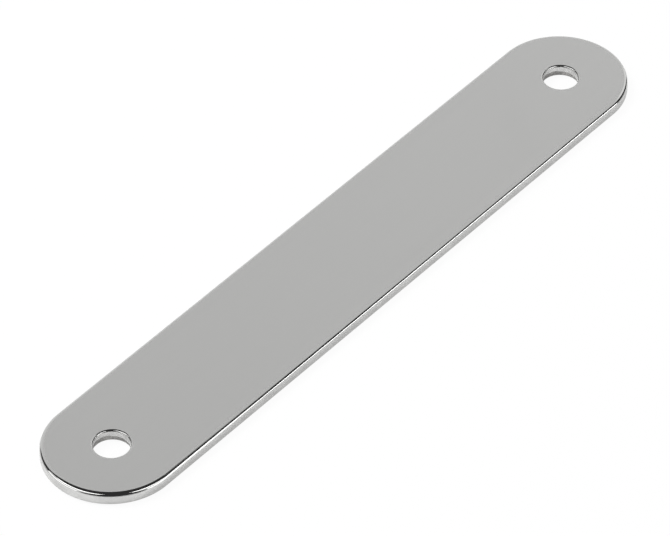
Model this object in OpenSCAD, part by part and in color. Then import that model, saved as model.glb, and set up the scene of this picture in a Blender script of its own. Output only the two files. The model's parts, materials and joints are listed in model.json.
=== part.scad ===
// Strap tang: one strip of stainless steel sheet, blanked with round ends, punched with
// a pin hole on the centre of each end, and polished until every edge is rounded.
// Millimetres. The strap lies on its back face: X runs along it, Z points out of its
// front face, and the origin is the middle of the back face.

/* [Strap] */
// Distance between the centres of the two holes
hole_spacing = 127; // [40:0.5:400]
// Width of the strip, and so the diameter of each round end
strap_width = 25; // [14:0.1:60]
// Thickness of the sheet
sheet_thickness = 2.5; // [1.8:0.1:8]

/* [Edges] */
// Radius polished onto the outer edge of the front face
front_edge_radius = 0.8; // [0.05:0.05:1.2]
// Radius polished onto the outer edge of the back face
back_edge_radius = 0.4; // [0.05:0.05:0.7]

/* [Holes] */
// Diameter of the sheared land in each hole, which is the size that the pin meets
hole_diameter = 6.6; // [3:0.1:12]
// Radius rolled onto the front rim of each hole where the punch went in
front_rim_radius = 0.4; // [0.05:0.05:0.8]
// Radius left on the back rim of each hole by polishing
back_rim_radius = 0.2; // [0.05:0.05:0.3]
// Height above the back face at which the sheared land gives way to the break-out
breakout_height = 1.2; // [0.4:0.05:1.6]
// How much wider the break-out leaves the hole's radius at the back
breakout_flare = 0.2; // [0.02:0.01:0.3]

/* [Hidden] */
$fn = 96;

end_radius = strap_width / 2;
hole_radius = hole_diameter / 2;
back_hole_radius = hole_radius + breakout_flare;
// How far the hole cutter runs past both faces
cut_past = 1;

// The material under a round edge: a quarter disc that fills the corner [0, radius] square,
// curved on its +X, +Y side
module round_corner(radius) {
    intersection() {
        circle(radius);
        square(radius);
    }
}

// Half of the strip's cross-section, from its centre line out to one polished edge
module half_section() {
    front_flat = end_radius - front_edge_radius;
    back_flat = end_radius - back_edge_radius;
    wall_top = sheet_thickness - front_edge_radius;

    translate([0, back_edge_radius]) square([end_radius, wall_top - back_edge_radius]);
    translate([0, wall_top]) square([front_flat, front_edge_radius]);
    square([back_flat, back_edge_radius]);
    translate([front_flat, wall_top]) round_corner(front_edge_radius);
    translate([back_flat, back_edge_radius]) mirror([0, 1]) round_corner(back_edge_radius);
}

// The straight run between the hole centres: the half section and its mirror image, drawn out along X
module straight_run() {
    rotate([90, 0, 90])
        linear_extrude(height = hole_spacing, center = true) {
            half_section();
            mirror([1, 0]) half_section();
        }
}

// The round end past the +X hole: the half section turned through half a circle about the hole
module round_end() {
    translate([hole_spacing / 2, 0, 0])
        rotate([0, 0, -90])
            rotate_extrude(angle = 180) half_section();
}

// Outline of what a hole takes away, from its axis outwards: the straight sheared land,
// the break-out below it, and a rounded rim at each face
module hole_profile() {
    front_rim_start = sheet_thickness - front_rim_radius;

    polygon([
        [0, -cut_past],
        [back_hole_radius, -cut_past],
        [back_hole_radius, back_rim_radius],
        [hole_radius, breakout_height],
        [hole_radius, sheet_thickness + cut_past],
        [0, sheet_thickness + cut_past]
    ]);
    difference() {
        translate([hole_radius, front_rim_start]) square([front_rim_radius, front_rim_radius + cut_past]);
        translate([hole_radius + front_rim_radius, front_rim_start]) circle(front_rim_radius);
    }
    difference() {
        translate([back_hole_radius, -cut_past]) square([back_rim_radius, back_rim_radius + cut_past]);
        translate([back_hole_radius + back_rim_radius, back_rim_radius]) circle(back_rim_radius);
    }
}

// One punched hole, on the centre of the +X end
module punched_hole() {
    translate([hole_spacing / 2, 0, 0]) rotate_extrude() hole_profile();
}

// The whole strap, with its two ends alike
module strap() {
    color("silver")
        difference() {
            union() {
                straight_run();
                for (side = [0, 1]) mirror([side, 0, 0]) round_end();
            }
            for (side = [0, 1]) mirror([side, 0, 0]) punched_hole();
        }
}

strap();
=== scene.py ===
# %% [markdown]
# # A strap tang in polished stainless steel
# The real part is a flat strip of stainless sheet. A press blanks it with round ends and punches a pin
# hole in each end, and a mop then polishes its edges until they mirror the room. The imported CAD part
# gives the frame that everything here is built in: metres, Z up, the strap lying on its back face.
# Reading the sizes from that frame, and not typing them again, keeps the picture true to the part.

# %% Load the frame
import json
import math

import bmesh
import bpy
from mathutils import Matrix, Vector, noise


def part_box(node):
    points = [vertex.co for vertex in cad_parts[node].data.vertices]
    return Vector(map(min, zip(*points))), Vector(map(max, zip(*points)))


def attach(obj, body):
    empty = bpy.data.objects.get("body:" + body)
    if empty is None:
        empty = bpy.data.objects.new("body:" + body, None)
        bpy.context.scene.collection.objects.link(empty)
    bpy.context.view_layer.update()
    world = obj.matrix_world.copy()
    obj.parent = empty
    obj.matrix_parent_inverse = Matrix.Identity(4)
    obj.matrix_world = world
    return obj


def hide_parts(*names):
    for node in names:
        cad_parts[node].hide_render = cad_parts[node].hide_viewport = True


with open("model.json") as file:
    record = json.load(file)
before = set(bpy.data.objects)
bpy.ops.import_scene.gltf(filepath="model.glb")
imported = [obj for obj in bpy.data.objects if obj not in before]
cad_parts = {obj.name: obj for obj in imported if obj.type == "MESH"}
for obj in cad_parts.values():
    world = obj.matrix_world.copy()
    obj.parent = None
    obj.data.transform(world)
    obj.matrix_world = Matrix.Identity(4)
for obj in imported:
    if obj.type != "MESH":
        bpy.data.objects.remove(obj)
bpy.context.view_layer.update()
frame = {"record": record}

MM = 0.001
strap_low, strap_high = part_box("strap")
strap_length = strap_high.x - strap_low.x
strap_width = strap_high.y - strap_low.y
sheet_thickness = strap_high.z - strap_low.z
end_radius = strap_width / 2

pin_hole = next(m for m in frame["record"]["mounts"] if m["name"] == "right_pin_hole")
hole_x = pin_hole["pos_m"][0]
hole_radius = pin_hole["dims"]["r_mm"] * MM
land_middle = pin_hole["pos_m"][2]
land_length = pin_hole["dims"]["length_mm"] * MM
print(f"strap {strap_length / MM:.1f} x {strap_width / MM:.1f} x {sheet_thickness / MM:.1f} mm,",
      f"holes {2 * hole_radius / MM:.1f} mm across, {2 * hole_x / MM:.1f} mm apart")

# %% [markdown]
# ## The rounded edge as a profile
# A mop rounds the front edge of a blank more than the back edge, which lies against the polisher's
# board. Both could be bevel modifiers, but a polished edge shows every flaw of its normals as a kink
# in a reflection. Here each edge is a list of profile points with the exact normal of the arc, so the
# reflections run as smoothly as they do on the real edge.

# %% Profile of the outer edge
front_edge_radius = 0.8 * MM
back_edge_radius = 0.4 * MM
EDGE_STEPS = 14
WALL_STEPS = 8


def arc_rows(centre, radius, start, end, steps):
    """Points (out, up, normal out, normal up) on an arc, with angles in degrees from straight out."""
    rows = []
    for i in range(steps + 1):
        angle = math.radians(start + (end - start) * i / steps)
        out, up = math.cos(angle), math.sin(angle)
        rows.append((centre[0] + radius * out, centre[1] + radius * up, out, up))
    return rows


def edge_profile():
    """The strap's edge from the front flat to the back flat, as distances from its spine."""
    front = arc_rows((end_radius - front_edge_radius, sheet_thickness - front_edge_radius),
                     front_edge_radius, 90, 0, EDGE_STEPS)
    back = arc_rows((end_radius - back_edge_radius, back_edge_radius),
                    back_edge_radius, 0, -90, EDGE_STEPS)
    wall_top, wall_foot = front[-1][1], back[0][1]
    wall = [(end_radius, wall_top + (wall_foot - wall_top) * i / WALL_STEPS, 1.0, 0.0)
            for i in range(1, WALL_STEPS)]
    zones = ["polished"] * EDGE_STEPS + ["side"] * WALL_STEPS + ["polished"] * EDGE_STEPS
    return front + wall + back, zones


edge_rows, edge_zones = edge_profile()
print(f"edge profile: {len(edge_rows)} points",
      f"from z {edge_rows[0][1] / MM:.2f} to {edge_rows[-1][1] / MM:.2f} mm")

# %% [markdown]
# ## The punched hole as a profile
# A punched hole has three zones: a rim that rolled over where the punch went in and that the mop has
# smoothed since, a sheared land that the pin bears on, and a torn break-out where the slug came away
# and left the metal ragged and a little wider. The land's size and length come from the frame. The
# break-out's upper line wanders round the hole and leans to one side, as it does when the punch stands
# a little off the die, and its wall is torn outwards by noise.

# %% Profile of a hole
land_top = land_middle + land_length / 2
front_rim_radius = sheet_thickness - land_top
back_rim_radius = 0.2 * MM
breakout_height = land_middle - land_length / 2
breakout_flare = 0.2 * MM
breakout_wander = 0.14 * MM
breakout_lean = 0.22 * MM
LEAN_AZIMUTH = math.radians(125)
tear_depth = 0.06 * MM
TEARS_ROUND_HOLE = 9
FINE_TEARS = 3
FINE_TEARS_DOWN = 1.5
TEAR_CONTRAST = 0.45
WANDERS_ROUND_HOLE = 2.5
FINE_PLACE = Vector((7, 0, 0))
COARSE_PLACE = Vector((7, 3, 0))
WANDER_PLACE = Vector((5, 0, 0))
RIM_STEPS = 12
LAND_STEPS = 5
TORN_STEPS = 16
BACK_RIM_STEPS = 5
hole_zones = (["polished"] * RIM_STEPS + ["land"] * LAND_STEPS + ["torn"] * TORN_STEPS
              + ["polished"] * BACK_RIM_STEPS)


def noise_place(place, side):
    """Where a hole reads a noise, so that the two holes differ."""
    return Vector((place.x * side, place.y, place.z))


def tear(side, angle, up):
    """How far the break-out is torn outwards at one place, in metres, between none and tear_depth."""
    round_hole = Vector((math.cos(angle), math.sin(angle), 0)) * TEARS_ROUND_HOLE
    down = Vector((0, 0, up / MM))
    fine = noise.noise(round_hole * FINE_TEARS + noise_place(FINE_PLACE, side) + down * FINE_TEARS_DOWN)
    coarse = noise.noise(round_hole + noise_place(COARSE_PLACE, side) + down)
    return tear_depth * min(1, max(0, 0.5 + TEAR_CONTRAST * (fine + coarse)))


def breakout_top(side, angle):
    """Where the break-out starts at one angle: it wanders with noise and leans towards LEAN_AZIMUTH."""
    round_hole = Vector((math.cos(angle), math.sin(angle), 0)) * WANDERS_ROUND_HOLE
    place = round_hole + noise_place(WANDER_PLACE, side)
    world_azimuth = angle if side > 0 else math.pi - angle
    lean = breakout_lean * math.cos(world_azimuth - LEAN_AZIMUTH)
    return breakout_height + breakout_wander * noise.noise(place) + lean


def hole_profile(side, angle):
    """The hole's wall at one angle from the front flat to the back flat, as distances from its axis.
    The normal is left out (None) where the wall is torn."""
    front = arc_rows((hole_radius + front_rim_radius, land_top), front_rim_radius, 90, 180, RIM_STEPS)
    land_foot = breakout_top(side, angle)
    land = [(hole_radius, land_top + (land_foot - land_top) * i / LAND_STEPS, -1.0, 0.0)
            for i in range(1, LAND_STEPS + 1)]
    torn = []
    for i in range(1, TORN_STEPS + 1):
        share = i / TORN_STEPS
        up = land_foot + (back_rim_radius - land_foot) * share
        spread = breakout_flare * (1 - (1 - share) ** 2)
        ragged = tear(side, angle, up) * math.sin(math.pi * share)
        torn.append((hole_radius + spread + ragged, up, None, None))
    back = arc_rows((hole_radius + breakout_flare + back_rim_radius, back_rim_radius),
                    back_rim_radius, 180, 270, BACK_RIM_STEPS)
    return front + land + torn + back[1:]


print(f"hole profile: {len(hole_profile(1, 0))} points, break-out about {breakout_height / MM:.1f} mm deep")

# %% [markdown]
# ## Stations round the outline
# The edge profile is swept round the outline, station by station. On an end, a station looks out from
# the hole's axis; on a long side, it looks out from the centre line. Round each hole the face is
# paved by rays that run from the rim to the outline, so the same angles serve the hole and the edge
# and every face of the mesh is a clean quad.

# %% Mesh collector and edge columns
ZONES = ["face", "polished", "side", "land", "torn"]


class StrapMesh:
    """Collects vertices with their exact normals, and quads with their zone."""

    def __init__(self):
        self.bm = bmesh.new()
        self.normals = []

    def vert(self, x, y, z, normal=None):
        self.normals.append(normal)
        return self.bm.verts.new((x, y, z))

    def grid(self, rows, zones=None):
        """Quads between neighbouring rows of vertices; zones names the zone of each strip of quads."""
        for upper, lower, zone in zip(rows, rows[1:], zones or ["face"] * (len(rows) - 1)):
            for i in range(len(upper) - 1):
                face = self.bm.faces.new((upper[i], upper[i + 1], lower[i + 1], lower[i]))
                face.material_index = ZONES.index(zone)
                face.smooth = True


def swept_edge(mesh, station):
    """One station's column of vertices down the strap's edge."""
    (x, y), (nx, ny) = station
    return [mesh.vert(x + nx * out, y + ny * out, up, (nx * n_out, ny * n_out, n_up))
            for out, up, n_out, n_up in edge_rows]


def hole_column(mesh, side, angle):
    """One angle's column of vertices down a hole's wall."""
    nx, ny = side * math.cos(angle), math.sin(angle)
    column = []
    for out, up, n_out, n_up in hole_profile(side, angle):
        normal = None if n_out is None else (nx * n_out, ny * n_out, n_up)
        column.append(mesh.vert(side * hole_x + nx * out, ny * out, up, normal))
    return column


print("zones of the strap:", ", ".join(ZONES))

# %% [markdown]
# ## Paving the two ends
# Rays leave each hole at equal angles. Up to the corner ray, at 135 degrees, they end on the outline: on
# the round end first, and then on the long sides. The rays behind it end on a straight line across the
# strap, where the middle run begins. A fan of rays like this keeps the quads even right round the hole,
# which a plain grid with a hole cut in it would not.

# %% Ends
AROUND = 160
CORNER_STEP = 3 * AROUND // 8
FACE_RINGS = 5
TOLERANCE = 1e-9
square_reach = end_radius - front_edge_radius


def ray_angle(step):
    """The angle of a ray from the hole, in radians from straight outwards."""
    return 2 * math.pi * step / AROUND


def ray_station(side, step):
    """Where the ray at one angle leaves the face: a station on the outline, or None on the inner line."""
    angle = ray_angle(step)
    if math.cos(angle) > -TOLERANCE:
        return (side * hole_x, 0), (side * math.cos(angle), math.sin(angle))
    if abs(math.sin(angle)) >= abs(math.cos(angle)) - TOLERANCE:
        x = hole_x + square_reach * math.cos(angle) / abs(math.sin(angle))
        return (side * x, 0), (0, math.copysign(1, math.sin(angle)))
    return None


def pave_end(mesh, side):
    """One end: its hole, the edge round it, and both faces between them."""
    steps = list(range(-CORNER_STEP, CORNER_STEP + 1))
    inner_steps = list(range(CORNER_STEP, AROUND - CORNER_STEP + 1))
    hole = {s: hole_column(mesh, side, ray_angle(s)) for s in range(AROUND)}
    edge = {s % AROUND: swept_edge(mesh, ray_station(side, s)) for s in steps}
    loop = [hole[s % AROUND] for s in range(AROUND + 1)]
    mesh.grid([list(row) for row in zip(*loop)], hole_zones)
    mesh.grid([list(row) for row in zip(*[edge[s % AROUND] for s in steps])], edge_zones)
    lines = {}
    for face, row, z, up in (("front", 0, sheet_thickness, 1.0), ("back", -1, 0.0, -1.0)):
        reach = {s: edge[s][row] for s in edge}
        line_x = side * (hole_x - square_reach)
        for s in inner_steps[1:-1]:
            y = -math.tan(ray_angle(s)) * square_reach
            reach[s] = mesh.vert(line_x, y, z, (0, 0, up))
        rings = [[hole[s][row] for s in range(AROUND)]]
        for ring in range(1, FACE_RINGS):
            share = ring / FACE_RINGS
            rings.append([mesh.vert(*hole[s][row].co.lerp(reach[s].co, share), (0, 0, up))
                          for s in range(AROUND)])
        rings.append([reach[s] for s in range(AROUND)])
        mesh.grid([ring + ring[:1] for ring in rings])
        lines[face] = [reach[s] for s in inner_steps]
    corners = {1: edge[CORNER_STEP], -1: edge[AROUND - CORNER_STEP]}
    return lines, corners


print(f"each end: {AROUND} rays, {2 * CORNER_STEP + 1} of them out to the edge")

# %% [markdown]
# ## The middle run and the finished mesh
# Between the ends the strap is straight, so columns at equal steps join the two inner lines. The mesh
# then gets the exact normals of its profiles. Only the torn break-out keeps the normals of its facets'
# corners, because nothing there is smooth.

# %% Middle and build
MIDDLE_COLUMNS = 44


def pave_middle(mesh, right, left):
    """The straight run between the two ends' inner lines."""
    (right_lines, right_corners), (left_lines, left_corners) = right, left
    columns = range(1, MIDDLE_COLUMNS)
    span = hole_x - square_reach
    xs = [span - 2 * span * c / MIDDLE_COLUMNS for c in columns]
    sides = {}
    for hand in (1, -1):
        between = [swept_edge(mesh, ((x, 0), (0, hand))) for x in xs]
        sides[hand] = [right_corners[hand]] + between + [left_corners[hand]]
        mesh.grid([list(row) for row in zip(*sides[hand])], edge_zones)
    for face, row, z, up in (("front", 0, sheet_thickness, 1.0), ("back", -1, 0.0, -1.0)):
        across = [v.co.y for v in right_lines[face]]
        rows = [right_lines[face]]
        for c, x in zip(columns, xs):
            inside = [mesh.vert(x, y, z, (0, 0, up)) for y in across[1:-1]]
            rows.append([sides[1][c][row]] + inside + [sides[-1][c][row]])
        rows.append(left_lines[face])
        mesh.grid(rows)


def build_strap():
    """The whole strap as one closed mesh with exact normals."""
    mesh = StrapMesh()
    right = pave_end(mesh, 1)
    left = pave_end(mesh, -1)
    pave_middle(mesh, right, left)
    mesh.bm.normal_update()
    bmesh.ops.recalc_face_normals(mesh.bm, faces=mesh.bm.faces)
    data = bpy.data.meshes.new("strap_polished")
    mesh.bm.to_mesh(data)
    open_edges = sum(1 for e in mesh.bm.edges if not e.is_manifold)
    mesh.bm.free()
    exact = [n if n is not None else tuple(v.normal) for n, v in zip(mesh.normals, data.vertices)]
    data.normals_split_custom_set_from_vertices(exact)
    piece = bpy.data.objects.new("strap_polished", data)
    bpy.context.scene.collection.objects.link(piece)
    print(f"strap mesh: {len(data.polygons)} quads, {open_edges} open edges")
    return piece


strap = build_strap()

# %% [markdown]
# ## Shared surface effects
# Every zone of the strap has met an abrasive, and only its grit and direction differ. So one node
# group draws fine lines by stretching noise along chosen axes, and each material places it with its
# own number of lines per metre. A second group gives the slow cloudiness that handling and the mop's
# compound leave on a mirror. Both read object coordinates, which are metres on the part, so the grain
# has its real size and nothing slides when the strap moves.

# %% Node groups
GRAIN_DETAIL = 3.0
CLOUD_DETAIL = 4.0


def new_group(name, inputs, outputs):
    """An empty shader node group with named sockets; returns it with its input and output nodes."""
    group = bpy.data.node_groups.new(name, "ShaderNodeTree")
    for socket, kind, default in inputs:
        made = group.interface.new_socket(socket, in_out="INPUT", socket_type=kind)
        made.default_value = default
    for socket, kind in outputs:
        group.interface.new_socket(socket, in_out="OUTPUT", socket_type=kind)
    return group, group.nodes.new("NodeGroupInput"), group.nodes.new("NodeGroupOutput")


def abrasive_lines_group():
    """Fine lines 0..1 about 0.5, drawn by noise that is stretched across the lines' direction."""
    group, given, result = new_group(
        "abrasive lines",
        [("Lines per metre", "NodeSocketVector", (60, 4000, 4000)), ("Softness", "NodeSocketFloat", 0.5)],
        [("Lines", "NodeSocketFloat")])
    place = group.nodes.new("ShaderNodeTexCoord")
    stretch = group.nodes.new("ShaderNodeVectorMath")
    stretch.operation = "MULTIPLY"
    grain = group.nodes.new("ShaderNodeTexNoise")
    grain.inputs["Scale"].default_value = 1.0
    grain.inputs["Detail"].default_value = GRAIN_DETAIL
    link = group.links.new
    link(place.outputs["Object"], stretch.inputs[0])
    link(given.outputs["Lines per metre"], stretch.inputs[1])
    link(stretch.outputs["Vector"], grain.inputs["Vector"])
    link(given.outputs["Softness"], grain.inputs["Roughness"])
    link(grain.outputs["Fac"], result.inputs["Lines"])
    return group


def handling_haze_group():
    """Slow cloudiness 0..1, with a patch size in metres."""
    group, given, result = new_group(
        "handling haze",
        [("Patch size", "NodeSocketFloat", 0.02), ("Distortion", "NodeSocketFloat", 0.6)],
        [("Haze", "NodeSocketFloat")])
    place = group.nodes.new("ShaderNodeTexCoord")
    per_metre = group.nodes.new("ShaderNodeMath")
    per_metre.operation = "DIVIDE"
    per_metre.inputs[0].default_value = 1.0
    cloud = group.nodes.new("ShaderNodeTexNoise")
    cloud.inputs["Detail"].default_value = CLOUD_DETAIL
    link = group.links.new
    link(given.outputs["Patch size"], per_metre.inputs[1])
    link(place.outputs["Object"], cloud.inputs["Vector"])
    link(per_metre.outputs["Value"], cloud.inputs["Scale"])
    link(given.outputs["Distortion"], cloud.inputs["Distortion"])
    link(cloud.outputs["Fac"], result.inputs["Haze"])
    return group


abrasive_lines = abrasive_lines_group()
handling_haze = handling_haze_group()
print("node groups:", abrasive_lines.name, "and", handling_haze.name)

# %% [markdown]
# ## Steel finishes
# Stainless reflects six to seven tenths of the light that falls on it, hardly tinted, and that is the
# base colour of a metal. What tells the zones apart is how they scatter: the face keeps the satin of the
# rolled sheet, the edge is mopped to a mirror, the side was ground before it was mopped and keeps faint
# upright marks, the land was wiped smooth by the punch, and the break-out is torn and dull. The face's
# paler grey than the edge is painted light, the same steel given a lighter base colour. One function
# makes them all, so a finish is a handful of numbers: its lines, its patches and how rough it is.

# %% Finish helpers
PATCH_EDGES = (0.35, 0.65)
WEAR_RANGE = (0.3, 0.7)
HALF = 0.5


def maths(tree, operation, first, second, third=None):
    """A math node in a node tree; each operand is a number or another node's output."""
    node = tree.nodes.new("ShaderNodeMath")
    node.operation = operation
    for socket, value in zip(node.inputs, (first, second, third)):
        if isinstance(value, bpy.types.NodeSocket):
            tree.links.new(value, socket)
        elif value is not None:
            socket.default_value = value
    return node.outputs["Value"]


def map_range(tree, value, source, target=(0, 1)):
    """A map range node that takes a value from the source range to the target range."""
    node = tree.nodes.new("ShaderNodeMapRange")
    for name, limit in zip(("From Min", "From Max", "To Min", "To Max"), (*source, *target)):
        node.inputs[name].default_value = limit
    tree.links.new(value, node.inputs["Value"])
    return node.outputs["Result"]


def finish(name, lines, softness, patch, tone, roughness, relief):
    """A steel finish. Its tone goes from low to high over the haze, and its roughness over the wear,
    which is half lines and half haze. patch and relief are in metres."""
    material = bpy.data.materials.new(name)
    material.use_nodes = True
    tree = material.node_tree
    nodes, link = tree.nodes, tree.links.new
    shader = nodes["Principled BSDF"]
    shader.inputs["Metallic"].default_value = 1.0
    grain = nodes.new("ShaderNodeGroup")
    grain.node_tree = abrasive_lines
    grain.inputs["Lines per metre"].default_value = lines
    grain.inputs["Softness"].default_value = softness
    haze = nodes.new("ShaderNodeGroup")
    haze.node_tree = handling_haze
    haze.inputs["Patch size"].default_value = patch

    colour = nodes.new("ShaderNodeMix")
    colour.data_type = "RGBA"
    colour.inputs["A"].default_value = tone[0]
    colour.inputs["B"].default_value = tone[1]
    link(map_range(tree, haze.outputs["Haze"], PATCH_EDGES), colour.inputs["Factor"])
    link(colour.outputs["Result"], shader.inputs["Base Color"])

    half_haze = maths(tree, "MULTIPLY", haze.outputs["Haze"], HALF)
    wear = maths(tree, "MULTIPLY_ADD", grain.outputs["Lines"], HALF, half_haze)
    link(map_range(tree, wear, WEAR_RANGE, roughness), shader.inputs["Roughness"])

    bump = nodes.new("ShaderNodeBump")
    bump.inputs["Strength"].default_value = 1.0
    bump.inputs["Distance"].default_value = relief
    link(grain.outputs["Lines"], bump.inputs["Height"])
    link(bump.outputs["Normal"], shader.inputs["Normal"])
    return material


print(f"a finish spreads its tone over haze {PATCH_EDGES} and its roughness over wear {WEAR_RANGE}")

# %% [markdown]
# ## The five finishes
# The lines run along the strap on the face and on the mopped edge, and up and down on the side and in the
# holes, as the abrasive and the punch went. The face is a little paler than the edge, which is painted light
# on the same steel: its tone was set so that its grey meets the photograph's.

# %% Finishes of the strap
STEEL = (0.62, 0.62, 0.612, 1.0)
TORN_STEEL = (0.44, 0.435, 0.425, 1.0)


def tones(colour, low, high):
    """A colour darkened or lightened by two factors: the ends of a finish's tone."""
    return [(*[channel * factor for channel in colour[:3]], 1.0) for factor in (low, high)]


finishes = {
    # Painted light: the face's tone lifts the same steel above the edge's, to raise the grey it renders.
    "face": finish("satin_face_painted_light", lines=(40, 5200, 5200), softness=0.55, patch=0.03,
                   tone=tones(STEEL, 1.16, 1.19), roughness=(0.44, 0.52), relief=2e-8),
    "polished": finish("mopped_edge", lines=(40, 5200, 5200), softness=0.55, patch=0.03,
                       tone=tones(STEEL, 0.985, 1.015), roughness=(0.06, 0.11), relief=2e-8),
    "side": finish("ground_side", lines=(3200, 3200, 90), softness=0.6, patch=0.004,
                   tone=tones(STEEL, 0.96, 1.08), roughness=(0.16, 0.30), relief=6e-7),
    "land": finish("sheared_land", lines=(4200, 4200, 260), softness=0.6, patch=0.0012,
                   tone=tones(STEEL, 0.95, 1.12), roughness=(0.18, 0.34), relief=1e-6),
    "torn": finish("torn_breakout", lines=(5200, 5200, 2200), softness=0.7, patch=0.0008,
                   tone=tones(TORN_STEEL, 0.72, 1.25), roughness=(0.40, 0.62), relief=8e-6),
}
for zone in ZONES:
    strap.data.materials.append(finishes[zone])
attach(strap, "root")
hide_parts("strap")
print("finishes:", ", ".join(m.name for m in strap.data.materials))

# %% [markdown]
# ## Camera
# The photograph looks down on the strap from its near left with a long lens. The angles were found by
# laying the strap's outline and holes over the picture until they met, so they are driving values here,
# and the camera's place follows from them.

# %% Camera
CAMERA_AZIMUTH = math.radians(-140.641)
CAMERA_ELEVATION = math.radians(42.095)
CAMERA_DISTANCE = 0.93245
AIM = Vector((-2.035, 0.641, 0)) * MM
PHOTO_WIDTH = 670
FOCAL_PIXELS = 5195.2
SENSOR_WIDTH = 36


def bearing_vector(azimuth, elevation):
    """The unit vector towards an azimuth (from +X towards +Y) and an elevation, in radians."""
    flat = math.cos(elevation)
    return Vector((flat * math.cos(azimuth), flat * math.sin(azimuth), math.sin(elevation)))


def add_camera():
    """The photograph's camera, as far from AIM as the fit puts it."""
    data = bpy.data.cameras.new("photo_camera")
    data.sensor_width = SENSOR_WIDTH
    data.lens = FOCAL_PIXELS * SENSOR_WIDTH / PHOTO_WIDTH
    camera = bpy.data.objects.new("photo_camera", data)
    towards_camera = bearing_vector(CAMERA_AZIMUTH, CAMERA_ELEVATION)
    camera.location = AIM + CAMERA_DISTANCE * towards_camera
    camera.rotation_euler = (-towards_camera).to_track_quat("-Z", "Y").to_euler()
    bpy.context.scene.collection.objects.link(camera)
    bpy.context.scene.camera = camera
    print(f"camera: lens {data.lens:.1f} mm at {CAMERA_DISTANCE:.3f} m")


add_camera()

# %% [markdown]
# ## Table, world and lamp
# A mirror shows the room, so lighting polished steel means choosing what stands round it. The strap lies
# on a white table, and a white world lights it evenly. One soft lamp, left of the strap and a little
# behind it, throws a short shadow along its near long side, which darkens the foot of that wall where the
# metal mirrors the table. Both table and world are white to the camera. The table also glows a little for
# glossy rays, so that metal shows a white ground too, and at a low angle it has a smooth board's sheen.

# %% Table
TABLE_SIZE = 8.0
TABLE_WHITE = 0.98
TABLE_ROUGHNESS = 0.15
SHEEN_POWER = 3.2
FACING_BLEND = 0.5
CAMERA_GLOW = 0.94
MIRROR_GLOW = 0.40


def table_material():
    """White board: the camera sees mostly glow, metal sees glow, matt white and a low-angle sheen."""
    material = bpy.data.materials.new("white_table")
    material.use_nodes = True
    tree = material.node_tree
    nodes, link = tree.nodes, tree.links.new
    nodes.remove(nodes["Principled BSDF"])
    path = nodes.new("ShaderNodeLightPath")
    seen = maths(tree, "MAXIMUM", path.outputs["Is Camera Ray"], path.outputs["Is Transmission Ray"])
    seen_glow = maths(tree, "MULTIPLY", seen, CAMERA_GLOW)
    glow_share = maths(tree, "MULTIPLY_ADD", path.outputs["Is Glossy Ray"], MIRROR_GLOW, seen_glow)
    matt = nodes.new("ShaderNodeBsdfDiffuse")
    matt.inputs["Color"].default_value = (TABLE_WHITE, TABLE_WHITE, TABLE_WHITE, 1)
    glow = nodes.new("ShaderNodeEmission")
    board = nodes.new("ShaderNodeMixShader")
    link(glow_share, board.inputs["Fac"])
    link(matt.outputs["BSDF"], board.inputs[1])
    link(glow.outputs["Emission"], board.inputs[2])

    facing = nodes.new("ShaderNodeLayerWeight")
    facing.inputs["Blend"].default_value = FACING_BLEND
    grazing = maths(tree, "POWER", facing.outputs["Facing"], SHEEN_POWER)
    sheen_share = maths(tree, "MULTIPLY", grazing, path.outputs["Is Glossy Ray"])
    sheen = nodes.new("ShaderNodeBsdfGlossy")
    sheen.inputs["Roughness"].default_value = TABLE_ROUGHNESS
    skin = nodes.new("ShaderNodeMixShader")
    link(sheen_share, skin.inputs["Fac"])
    link(board.outputs["Shader"], skin.inputs[1])
    link(sheen.outputs["BSDF"], skin.inputs[2])
    link(skin.outputs["Shader"], nodes["Material Output"].inputs["Surface"])
    return material


def add_table():
    """A white board under the strap, wide enough to fill the view and every reflection of the ground."""
    bm = bmesh.new()
    bmesh.ops.create_grid(bm, x_segments=1, y_segments=1, size=TABLE_SIZE / 2)
    data = bpy.data.meshes.new("white_table")
    bm.to_mesh(data)
    bm.free()
    data.materials.append(table_material())
    table = bpy.data.objects.new("white_table", data)
    bpy.context.scene.collection.objects.link(table)


add_table()
print(f"table: {TABLE_SIZE:.0f} m wide")

# %% [markdown]
# ## The light
# A world at one even level stands for the white studio. The lamp is an area lamp, because a small one
# would draw a hard shadow, and the strap's is soft. Metal does not see the lamp: the cards further on
# stand for all that metal mirrors.

# %% World and lamp
WORLD_LEVEL = 0.60
LAMP_POWER = 5.8
LAMP_DISTANCE = 1.0
LAMP_SIZE = 0.45
LAMP_BEARING = math.radians(248)
LAMP_ELEVATION = math.radians(57)


def add_world():
    """A world that is white to the camera and to metal, and lights the table at WORLD_LEVEL."""
    world = bpy.data.worlds.new("white_studio")
    world.use_nodes = True
    tree = world.node_tree
    path = tree.nodes.new("ShaderNodeLightPath")
    seen = maths(tree, "MAXIMUM", path.outputs["Is Camera Ray"], path.outputs["Is Transmission Ray"])
    shown = maths(tree, "MAXIMUM", seen, path.outputs["Is Glossy Ray"])
    level = maths(tree, "MULTIPLY_ADD", shown, 1 - WORLD_LEVEL, WORLD_LEVEL)
    ground = tree.nodes["Background"]
    ground.inputs["Color"].default_value = (1, 1, 1, 1)
    tree.links.new(level, ground.inputs["Strength"])
    bpy.context.scene.world = world


def add_lamp():
    """One square softbox lamp on the left, which only the matt table sees."""
    data = bpy.data.lights.new("side_lamp", "AREA")
    data.energy = LAMP_POWER
    data.size = LAMP_SIZE
    lamp = bpy.data.objects.new("side_lamp", data)
    towards_lamp = bearing_vector(CAMERA_AZIMUTH + LAMP_BEARING, LAMP_ELEVATION)
    lamp.location = LAMP_DISTANCE * towards_lamp
    lamp.rotation_euler = (-towards_lamp).to_track_quat("-Z", "Y").to_euler()
    lamp.visible_glossy = False
    bpy.context.scene.collection.objects.link(lamp)


add_world()
add_lamp()
bpy.context.scene.view_settings.view_transform = "Standard"
print(f"world at {WORLD_LEVEL} and a lamp of {LAMP_POWER} W")

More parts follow.
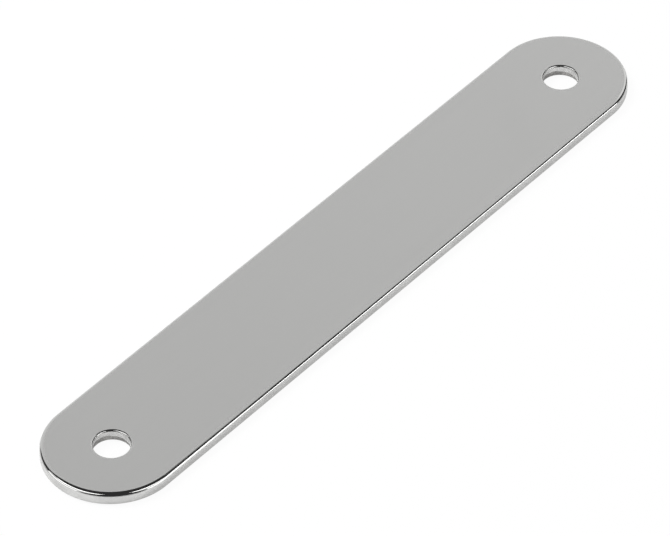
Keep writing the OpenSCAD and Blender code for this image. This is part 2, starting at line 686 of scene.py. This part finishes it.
# %% [markdown]
# ## Cards for the mirror
# A rounded polished edge squeezes the whole room into a line a millimetre wide, so cards decide what
# that line shows. Each card is an upright strip of emission, bent round the strap at a fixed distance.
# Its place is given as the strap sees it: a bearing from the lens and an elevation above the table. The
# cards show only in metal. They neither light the table nor stand in the view.

# %% Card helpers
CARD_STEPS = 48


def card_material(name, level, high_level=None, top=1.0):
    """Plain emission of one level, or one that goes from level at the table to high_level at height top."""
    material = bpy.data.materials.new(name)
    material.use_nodes = True
    tree = material.node_tree
    nodes, link = tree.nodes, tree.links.new
    nodes.remove(nodes["Principled BSDF"])
    place = nodes.new("ShaderNodeTexCoord")
    split = nodes.new("ShaderNodeSeparateXYZ")
    link(place.outputs["Object"], split.inputs["Vector"])
    levels = (level, level if high_level is None else high_level)
    glow = nodes.new("ShaderNodeEmission")
    link(map_range(tree, split.outputs["Z"], (0, top), levels), glow.inputs["Strength"])
    link(glow.outputs["Emission"], nodes["Material Output"].inputs["Surface"])
    return material


def hang_card(name, bm, material):
    """Makes an object of the card, which only reflections can see."""
    data = bpy.data.meshes.new(name)
    bm.to_mesh(data)
    bm.free()
    data.materials.append(material)
    card = bpy.data.objects.new(name, data)
    bpy.context.scene.collection.objects.link(card)
    card.visible_camera = False
    card.visible_diffuse = False
    card.visible_shadow = False
    card.visible_transmission = False


def curved_card(name, span, distance, outline, material):
    """An upright card bent round the strap. span gives the bearings of its ends in degrees from the lens,
    positive to the right of it; outline(share) gives the elevations of its lower and upper edge there."""
    bm = bmesh.new()
    columns = []
    for i in range(CARD_STEPS + 1):
        share = i / CARD_STEPS
        angle = CAMERA_AZIMUTH + math.radians(span[0] + (span[1] - span[0]) * share)
        x, y = distance * math.cos(angle), distance * math.sin(angle)
        heights = [distance * math.tan(math.radians(e)) for e in outline(share)]
        columns.append([bm.verts.new((x, y, z)) for z in heights])
    for a, b in zip(columns, columns[1:]):
        bm.faces.new((a[0], b[0], b[1], a[1]))
    hang_card(name, bm, material)


def plain_card(name, span, elevations, distance, level):
    """A card of one level with a straight lower and upper edge."""
    curved_card(name, span, distance, lambda share: elevations, card_material(name, level))


print(f"cards are bent in {CARD_STEPS} steps")

# %% [markdown]
# ## What the strap mirrors
# The flat face mirrors a pale backdrop opposite the lens, which fills it with an even grey. Above the
# backdrop and round the lens the room is dark, and that draws the black line along the near edge. Beside
# the lens hang two grey softboxes with a bright strip along their top and another along the table, which
# draw the white line under the black one. The satin face blurs all of this into one even grey, from other
# sides too.

# %% Dark room
ROOM_RADIUS = 2.2
ROOM_HEIGHT = 1.8
ROOM_LEVEL = 0.04
ROOM_SEGMENTS = 64


def dark_room():
    """The unlit room: a drum of dark wall with a dark ceiling."""
    bm = bmesh.new()
    bmesh.ops.create_cone(bm, cap_ends=True, segments=ROOM_SEGMENTS, radius1=ROOM_RADIUS,
                          radius2=ROOM_RADIUS, depth=ROOM_HEIGHT)
    bmesh.ops.translate(bm, verts=bm.verts, vec=(0, 0, ROOM_HEIGHT / 2))
    floor = min(bm.faces, key=lambda face: face.calc_center_median().z)
    bmesh.ops.delete(bm, geom=[floor], context="FACES_ONLY")
    hang_card("dark_room", bm, card_material("dark_room", ROOM_LEVEL))


dark_room()
print(f"dark room: {2 * ROOM_RADIUS:.1f} m wide and {ROOM_HEIGHT:.1f} m high")

# %% [markdown]
# ## Backdrop
# A pale sheet opposite the lens gives flat metal a clean grey. Its outline was read from the strap's own
# rim: where the rim turns dark, the sheet ends. An arch with a round crown and a drawn-in foot gives that
# outline with few numbers.

# %% Backdrop
BACKDROP_SPAN = (96, 253)
BACKDROP_DISTANCE = 0.9
BACKDROP_WAIST = 35
BACKDROP_TOP = 62
BACKDROP_RIGHT_FOOT = 0.42
BACKDROP_LEFT_FOOT = 0.74
BACKDROP_LOW_LEVEL = 0.88
BACKDROP_HIGH_LEVEL = 0.716
BACKDROP_EVEN_FROM = 41
CROWN_POWER = 2.5


def arch(share):
    """The backdrop's outline: widest at BACKDROP_WAIST, round above it and drawn in towards its foot."""
    across = abs(2 * share - 1)
    foot = BACKDROP_RIGHT_FOOT if share < 0.5 else BACKDROP_LEFT_FOOT
    crown = (1 - across ** CROWN_POWER) ** (1 / CROWN_POWER)
    high = BACKDROP_WAIST + (BACKDROP_TOP - BACKDROP_WAIST) * crown
    low = BACKDROP_WAIST * math.sqrt(max(0, (across - foot) / (1 - foot)))
    return low, high


backdrop = card_material("backdrop", BACKDROP_LOW_LEVEL, BACKDROP_HIGH_LEVEL,
                         BACKDROP_DISTANCE * math.tan(math.radians(BACKDROP_EVEN_FROM)))
curved_card("backdrop", BACKDROP_SPAN, BACKDROP_DISTANCE, arch, backdrop)
print(f"backdrop: from bearing {BACKDROP_SPAN[0]} to {BACKDROP_SPAN[1]}, up to {BACKDROP_TOP} degrees")

# %% [markdown]
# ## Softboxes
# Two softboxes stand beside the lens. Each is a grey card with two brighter strips just in front of it.
# The mopped edge squeezes the strips into thin white lines, so each line's brightness is set by its strip
# alone, and the card between them sets the grey of the walls.

# %% Softboxes
SOFTBOX_DISTANCE = 0.8
SOFTBOX_LIFT = 43
SOFTBOX_SLOPE = 0.44
SOFTBOX_TOP = 41.8
SOFTBOX_LEVEL = 0.85
STRIP_DISTANCE = 0.78
STRIP_HEIGHT = 9
TOP_STRIP_LEVEL = 3.2
DROOP_POWER = 5
LEFT_SPAN = (-13, -95)
RIGHT_SPAN = (24, 81.5)


def add_softbox(side, span, droop, strip_reach, foot_level):
    """A grey softbox from the lens outwards: it reaches lower, and droops at the top, on its far side.
    A bright strip runs along its upper edge as far as strip_reach, and one of foot_level along the table."""
    def box(share):
        low = SOFTBOX_LIFT * max(0, 1 - share / SOFTBOX_SLOPE)
        high = SOFTBOX_TOP * (1 - droop * share ** DROOP_POWER)
        return low, high

    def top_strip(share):
        low, high = box(share)
        height = STRIP_HEIGHT if share <= strip_reach else 0
        return max(low, high - height), high

    def foot_strip(share):
        low, high = box(share)
        return low, max(low, STRIP_HEIGHT)

    for name, outline, distance, level in (("softbox", box, SOFTBOX_DISTANCE, SOFTBOX_LEVEL),
                                           ("top_strip", top_strip, STRIP_DISTANCE, TOP_STRIP_LEVEL),
                                           ("foot_strip", foot_strip, STRIP_DISTANCE, foot_level)):
        name = f"{side}_{name}"
        curved_card(name, span, distance, outline, card_material(name, level))


add_softbox("left", LEFT_SPAN, droop=0.4, strip_reach=0.86, foot_level=2.0)
add_softbox("right", RIGHT_SPAN, droop=0.65, strip_reach=1, foot_level=2.6)
print(f"softboxes: bearings {LEFT_SPAN} and {RIGHT_SPAN}, up to {SOFTBOX_TOP} degrees")

# %% [markdown]
# ## Cards for the long near edge
# The long near edge mirrors a narrow fan on the right. A low bright card at the table draws its white
# line, and a pale card in front of the backdrop's right foot lightens the far end's rim.

# %% Foot card and pale card
FOOT_SPAN = (78, 99)
FOOT_HEIGHT = 4.6
FOOT_LEVEL = 4.9
PALE_SPAN = (118, 150)
PALE_FOOT = 27
PALE_TOP = 42
PALE_LEVEL = 1.02


def pale_outline(share):
    """The pale card's lower edge falls to the table along its length."""
    return PALE_FOOT * (1 - share), PALE_TOP


plain_card("right_foot_card", FOOT_SPAN, (0, FOOT_HEIGHT), STRIP_DISTANCE, FOOT_LEVEL)
curved_card("right_pale_card", PALE_SPAN, SOFTBOX_DISTANCE, pale_outline,
            card_material("pale_card", PALE_LEVEL))
